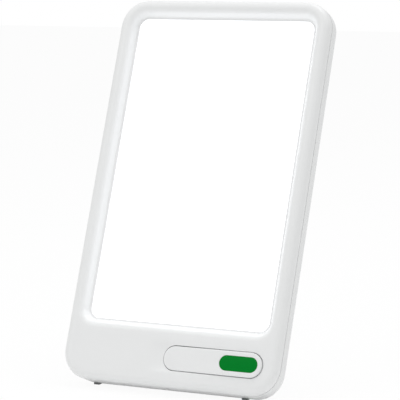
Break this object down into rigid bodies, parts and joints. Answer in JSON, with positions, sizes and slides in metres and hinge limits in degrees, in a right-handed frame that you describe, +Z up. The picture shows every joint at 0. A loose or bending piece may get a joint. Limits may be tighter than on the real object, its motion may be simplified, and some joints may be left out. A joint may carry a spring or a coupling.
{
  "type": "light therapy lamp",
  "caption": "Tablet-shaped light therapy lamp with a recessed glowing panel, a rocker switch in the lower band and a fold-out rear leg.",
  "frame": {"origin": "bottom centre of the bounding box, on the surface the lamp stands on, in the pose of the picture", "axes": "+Z up, -Y towards the user whom the glowing panel faces, +X towards the rocker's side, the user's right"},
  "size_m": [0.155, 0.1124, 0.2533],
  "materials": {
    "case_plastic": "satin white moulding",
    "diffuser_plastic": "frosted, glowing",
    "guide_plastic": "clear, polished",
    "reflector_film": "matte white",
    "sheet_aluminium": "mill finish",
    "board_laminate": "satin solder mask",
    "strip_laminate": "white solder mask",
    "lamp_body": "moulded, pale yellow face",
    "inlay_plastic": "polished green",
    "black_plastic": "moulded",
    "connector_plastic": "moulded",
    "component_can": "brushed",
    "steel": "bright zinc plated",
    "contact_brass": "plated",
    "wire_jacket": "flexible",
    "foot_rubber": "grey, matte"
  },
  "bodies": {
    "lamp": {"front_cover": "case_plastic", "rear_cover": "case_plastic", "diffuser": "diffuser_plastic", "light_guide": "guide_plastic", "reflector_sheet": "reflector_film", "heat_tray": "sheet_aluminium", "lamp_strip_left": "strip_laminate", "lamp_strip_right": "strip_laminate", "lamps_left": "lamp_body", "lamps_right": "lamp_body", "rocker_pin": "steel", "driver_board": "board_laminate", "micro_switch": "black_plastic", "supply_socket": "black_plastic", "socket_contact": "contact_brass", "socket_nut": "steel", "power_inductor": "black_plastic", "driver_chip": "black_plastic", "filter_capacitor": "component_can", "output_capacitor": "component_can", "connector_left": "connector_plastic", "connector_right": "connector_plastic", "connector_supply": "connector_plastic", "lamp_lead_left": "wire_jacket", "lamp_lead_right": "wire_jacket", "supply_lead": "wire_jacket", "case_screws": "steel", "tray_screws": "steel", "board_screws": "steel", "stand_pin": "steel", "foot_left": "foot_rubber", "foot_right": "foot_rubber"},
    "rocker": {"rocker_cap": "case_plastic", "rocker_inlay": "inlay_plastic"},
    "plunger": {"switch_plunger": "connector_plastic"},
    "stand": {"stand_leg": "case_plastic", "stand_pad": "foot_rubber"}
  },
  "joints": [
    {"name": "rocker_tilt", "type": "hinge", "parent": "lamp", "child": "rocker", "pos_m": [0.03265, -0.04549, 0.02308], "axis": [0, 0.3616, 0.9323], "range_deg": [0, 1.8]},
    {"name": "plunger_slide", "type": "slide", "parent": "lamp", "child": "plunger", "axis": [0, -0.9323, 0.3616], "range_m": [0, 0.0006]},
    {"name": "stand_fold", "type": "hinge", "parent": "lamp", "child": "stand", "pos_m": [0, 0.02296, 0.16085], "axis": [1, 0, 0], "range_deg": [-27.2, 0]}
  ],
  "couplings": [
    {"joint": "plunger_slide", "follows": "rocker_tilt", "m_per_rad": 0.018}
  ]
}
